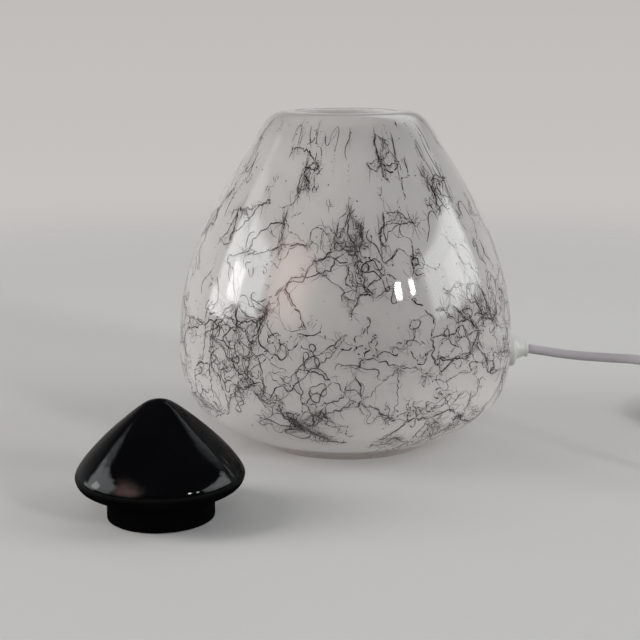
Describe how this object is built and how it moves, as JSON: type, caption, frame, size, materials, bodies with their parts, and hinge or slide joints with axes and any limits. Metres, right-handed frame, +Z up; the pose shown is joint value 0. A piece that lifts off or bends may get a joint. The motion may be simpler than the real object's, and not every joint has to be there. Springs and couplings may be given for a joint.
{
  "type": "glass table lamp",
  "caption": "Table lamp: a soft rounded cone of opal glass with threads in a clear casing, a pointed black lid beside it, and a cord from a side bushing with switch, coil and plug.",
  "frame": {"origin": "middle of the flat foot of the glass body, on the surface that the lamp stands on", "axes": "+Z up along the glass body's axis, +X towards the bushing in its side, -Y towards the viewer with the lid on that side"},
  "size_m": [0.4078, 0.3198, 0.1797],
  "materials": {
    "opal_glass": "opal white glass with thin black threads under a clear, polished casing",
    "black_glass": "solid black glass, blown and fire-polished to a high gloss",
    "clear_glass": "thin clear glass",
    "dark_glass": "dark glass insulator",
    "white_plastic": "slightly translucent moulded white plastic",
    "ivory_plastic": "moulded off-white plastic",
    "cord_plastic": "smooth soft plastic sheath, lilac grey",
    "black_rubber": "matt black",
    "felt": "pressed dark grey felt",
    "steel": "zinc plated",
    "brass": "pressed sheet, clean",
    "nickel": "bright nickel plated",
    "ceramic": "steatite with a thin glaze",
    "filament": "drawn wire, dull"
  },
  "bodies": {
    "lamp": {"glass_body": "opal_glass", "cord_bushing": "white_plastic", "bushing_washer": "black_rubber", "bushing_nut": "ivory_plastic", "inner_lead": "cord_plastic", "holder_pad": "felt", "holder_base": "steel", "holder_nut_below": "steel", "holder_nut_above": "steel", "holder_nut_cap": "steel", "holder_tube": "steel", "holder_cap": "ivory_plastic", "holder_insert": "ceramic", "holder_contact_centre": "brass", "holder_contact_side": "brass", "holder_terminal_1": "brass", "holder_terminal_2": "brass", "holder_screw_shell": "nickel", "holder_skirt": "ivory_plastic", "cord_free": "cord_plastic", "cord_coil": "cord_plastic", "cord_tie": "black_rubber", "switch_lower": "ivory_plastic", "switch_upper": "ivory_plastic", "switch_pin": "steel", "switch_contact_1": "brass", "switch_contact_2": "brass", "switch_screw_1": "steel", "switch_screw_2": "steel", "plug_relief": "white_plastic", "plug_body": "white_plastic", "plug_pin_1": "nickel", "plug_pin_2": "nickel", "plug_sleeve_1": "black_rubber", "plug_sleeve_2": "black_rubber"},
    "lid": {"lid": "black_glass"},
    "bulb": {"bulb_contact": "nickel", "bulb_insulator": "dark_glass", "bulb_cap": "nickel", "bulb_glass": "clear_glass", "bulb_stem": "clear_glass", "bulb_filament": "filament"},
    "rocker": {"switch_rocker": "white_plastic"}
  },
  "joints": [
    {"name": "lid_lift", "type": "slide", "parent": "lamp", "child": "lid", "axis": [0, 0, 1], "range_m": [0, 0.2]},
    {"name": "bulb_lift", "type": "slide", "parent": "lamp", "child": "bulb", "axis": [0, 0, 1], "range_m": [0, 0.14]},
    {"name": "switch_rock", "type": "hinge", "parent": "lamp", "child": "rocker", "pos_m": [0.263, -0.0427, 0.0143], "axis": [1, 0, 0], "range_deg": [0, 16]}
  ]
}
